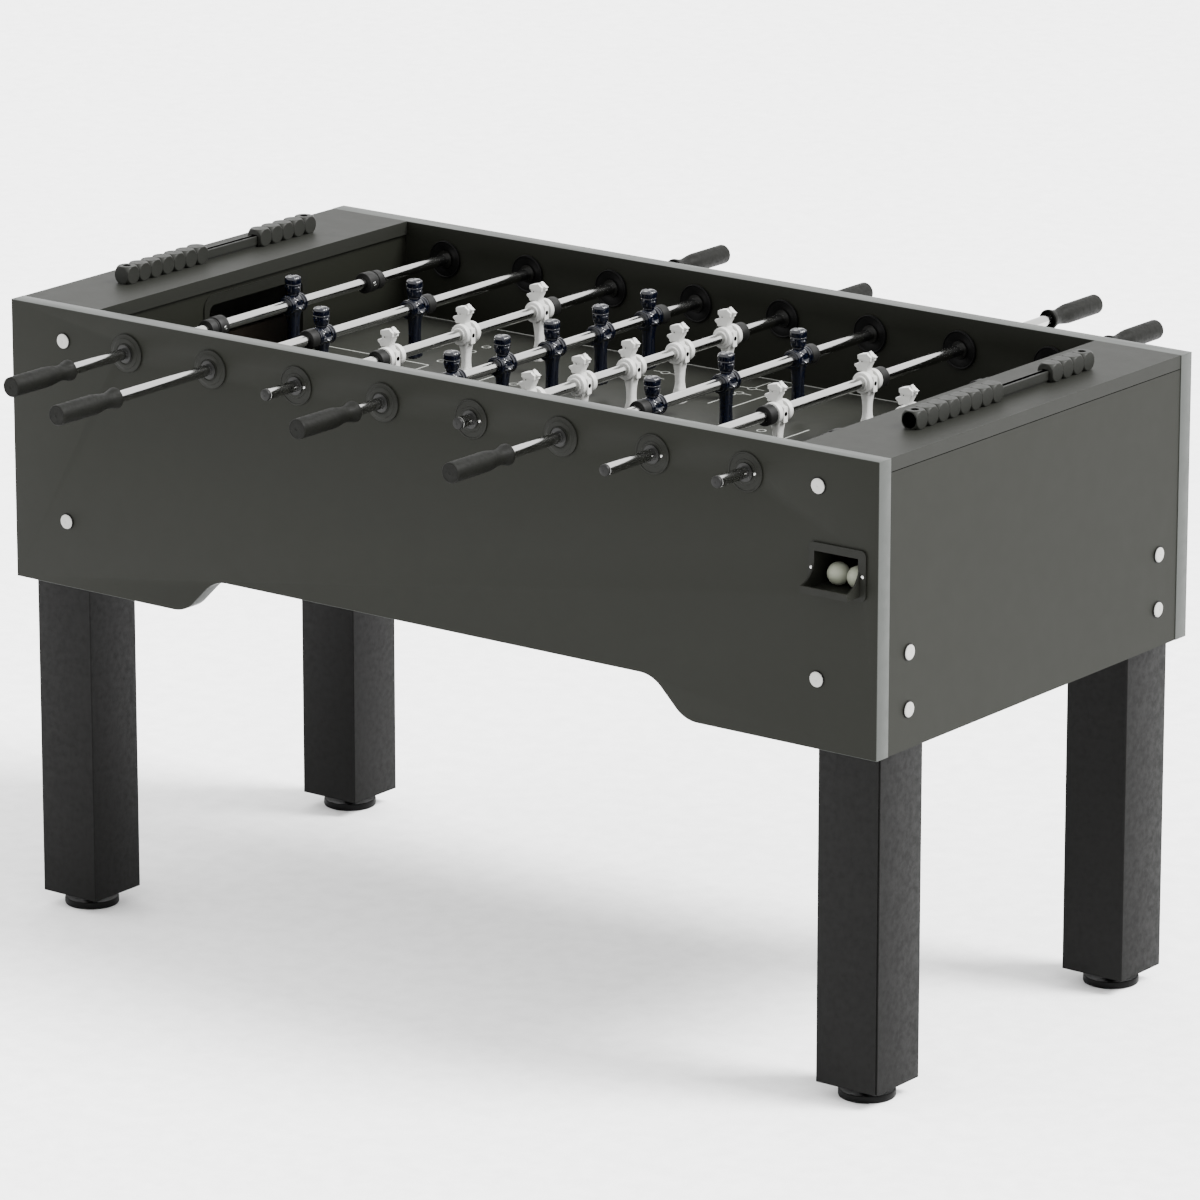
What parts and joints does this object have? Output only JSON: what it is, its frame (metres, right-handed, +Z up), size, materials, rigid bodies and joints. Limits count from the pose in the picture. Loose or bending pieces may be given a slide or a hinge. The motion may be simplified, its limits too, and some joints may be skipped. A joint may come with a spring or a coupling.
{
  "type": "foosball table",
  "caption": "Free-standing foosball table: grey board cabinet on square black legs, sliding and spinning rods with moulded players, ball cups and sliding score counters.",
  "frame": {"origin": "on the floor under the middle of the table", "axes": "+X along the playfield, with the near-side ball cup at +X; +Y across the table, away from the near side; +Z up"},
  "size_m": [1.474, 1.3605, 0.911],
  "materials": {
    "panel_board": "matt grey laminate",
    "field_board": "satin printed laminate",
    "inner_board": "plain board",
    "leg_board": "fine textured black",
    "black_plastic": "moulded",
    "foot_plastic": "moulded",
    "grey_plastic": "moulded, grey like the panels",
    "counter_plastic": "moulded",
    "ball_plastic": "matt",
    "bolt_caps": "white caps on dark bolts",
    "chrome_tube": "polished",
    "grip_rubber": "fine texture",
    "stop_rubber": "plain",
    "dark_players": "gloss",
    "light_players": "satin"
  },
  "bodies": {
    "root": {"side_panel_front": "panel_board", "side_panel_rear": "panel_board", "end_panels": "panel_board", "top_boards": "panel_board", "goal_walls": "panel_board", "goal_rims": "grey_plastic", "playfield": "field_board", "inner_frame": "inner_board", "ball_cups": "grey_plastic", "balls": "ball_plastic", "legs": "leg_board", "cabinet_bolts": "bolt_caps", "score_counters": "counter_plastic", "bearing_flanges": "grey_plastic"},
    "bearing_1": {"sleeves_1": "black_plastic"},
    "rod_set_1": {"rod_1": "chrome_tube", "handle_1": "grip_rubber", "men_1": "dark_players", "stops_1": "stop_rubber"},
    "bearing_2": {"sleeves_2": "black_plastic"},
    "rod_set_2": {"rod_2": "chrome_tube", "handle_2": "grip_rubber", "men_2": "dark_players", "stops_2": "stop_rubber"},
    "bearing_3": {"sleeves_3": "black_plastic"},
    "rod_set_3": {"rod_3": "chrome_tube", "handle_3": "grip_rubber", "men_3": "light_players", "stops_3": "stop_rubber"},
    "bearing_4": {"sleeves_4": "black_plastic"},
    "rod_set_4": {"rod_4": "chrome_tube", "handle_4": "grip_rubber", "men_4": "dark_players", "stops_4": "stop_rubber"},
    "bearing_5": {"sleeves_5": "black_plastic"},
    "rod_set_5": {"rod_5": "chrome_tube", "handle_5": "grip_rubber", "men_5": "light_players", "stops_5": "stop_rubber"},
    "bearing_6": {"sleeves_6": "black_plastic"},
    "rod_set_6": {"rod_6": "chrome_tube", "handle_6": "grip_rubber", "men_6": "dark_players", "stops_6": "stop_rubber"},
    "bearing_7": {"sleeves_7": "black_plastic"},
    "rod_set_7": {"rod_7": "chrome_tube", "handle_7": "grip_rubber", "men_7": "light_players", "stops_7": "stop_rubber"},
    "bearing_8": {"sleeves_8": "black_plastic"},
    "rod_set_8": {"rod_8": "chrome_tube", "handle_8": "grip_rubber", "men_8": "light_players", "stops_8": "stop_rubber"},
    "foot_front_left": {"foot_front_left": "foot_plastic"},
    "foot_front_right": {"foot_front_right": "foot_plastic"},
    "foot_rear_left": {"foot_rear_left": "foot_plastic"},
    "foot_rear_right": {"foot_rear_right": "foot_plastic"},
    "score_bead_left": {"score_bead_left": "counter_plastic"},
    "score_bead_right": {"score_bead_right": "counter_plastic"}
  },
  "joints": [
    {"name": "rod_1_spin", "type": "hinge", "parent": "root", "child": "bearing_1", "pos_m": [-0.525, 0, 0.84], "axis": [0, 1, 0], "continuous": true},
    {"name": "rod_1_slide", "type": "slide", "parent": "bearing_1", "child": "rod_set_1", "axis": [0, 1, 0], "range_m": [-0.082, 0.113]},
    {"name": "rod_2_spin", "type": "hinge", "parent": "root", "child": "bearing_2", "pos_m": [-0.375, 0, 0.84], "axis": [0, 1, 0], "continuous": true},
    {"name": "rod_2_slide", "type": "slide", "parent": "bearing_2", "child": "rod_set_2", "axis": [0, 1, 0], "range_m": [-0.1185, 0.1915]},
    {"name": "rod_3_spin", "type": "hinge", "parent": "root", "child": "bearing_3", "pos_m": [-0.225, 0, 0.84], "axis": [0, 1, 0], "continuous": true},
    {"name": "rod_3_slide", "type": "slide", "parent": "bearing_3", "child": "rod_set_3", "axis": [0, 1, 0], "range_m": [-0.115, 0.0875]},
    {"name": "rod_4_spin", "type": "hinge", "parent": "root", "child": "bearing_4", "pos_m": [-0.075, 0, 0.84], "axis": [0, 1, 0], "continuous": true},
    {"name": "rod_4_slide", "type": "slide", "parent": "bearing_4", "child": "rod_set_4", "axis": [0, 1, 0], "range_m": [-0.044, 0.055]},
    {"name": "rod_5_spin", "type": "hinge", "parent": "root", "child": "bearing_5", "pos_m": [0.075, 0, 0.84], "axis": [0, 1, 0], "continuous": true},
    {"name": "rod_5_slide", "type": "slide", "parent": "bearing_5", "child": "rod_set_5", "axis": [0, 1, 0], "range_m": [-0.0474, 0.0516]},
    {"name": "rod_6_spin", "type": "hinge", "parent": "root", "child": "bearing_6", "pos_m": [0.225, 0, 0.84], "axis": [0, 1, 0], "continuous": true},
    {"name": "rod_6_slide", "type": "slide", "parent": "bearing_6", "child": "rod_set_6", "axis": [0, 1, 0], "range_m": [-0.0931, 0.1094]},
    {"name": "rod_7_spin", "type": "hinge", "parent": "root", "child": "bearing_7", "pos_m": [0.375, 0, 0.84], "axis": [0, 1, 0], "continuous": true},
    {"name": "rod_7_slide", "type": "slide", "parent": "bearing_7", "child": "rod_set_7", "axis": [0, 1, 0], "range_m": [-0.183, 0.127]},
    {"name": "rod_8_spin", "type": "hinge", "parent": "root", "child": "bearing_8", "pos_m": [0.525, 0, 0.84], "axis": [0, 1, 0], "continuous": true},
    {"name": "rod_8_slide", "type": "slide", "parent": "bearing_8", "child": "rod_set_8", "axis": [0, 1, 0], "range_m": [-0.108, 0.087]},
    {"name": "foot_front_left_turn", "type": "hinge", "parent": "root", "child": "foot_front_left", "pos_m": [-0.67325, -0.29125, 0.05], "axis": [0, 0, 1], "continuous": true},
    {"name": "foot_front_right_turn", "type": "hinge", "parent": "root", "child": "foot_front_right", "pos_m": [0.67325, -0.29125, 0.05], "axis": [0, 0, 1], "continuous": true},
    {"name": "foot_rear_left_turn", "type": "hinge", "parent": "root", "child": "foot_rear_left", "pos_m": [-0.67325, 0.29125, 0.05], "axis": [0, 0, 1], "continuous": true},
    {"name": "foot_rear_right_turn", "type": "hinge", "parent": "root", "child": "foot_rear_right", "pos_m": [0.67325, 0.29125, 0.05], "axis": [0, 0, 1], "continuous": true},
    {"name": "score_bead_left_slide", "type": "slide", "parent": "root", "child": "score_bead_left", "axis": [0, 1, 0], "range_m": [0, 0.115]},
    {"name": "score_bead_right_slide", "type": "slide", "parent": "root", "child": "score_bead_right", "axis": [0, 1, 0], "range_m": [0, 0.115]}
  ]
}
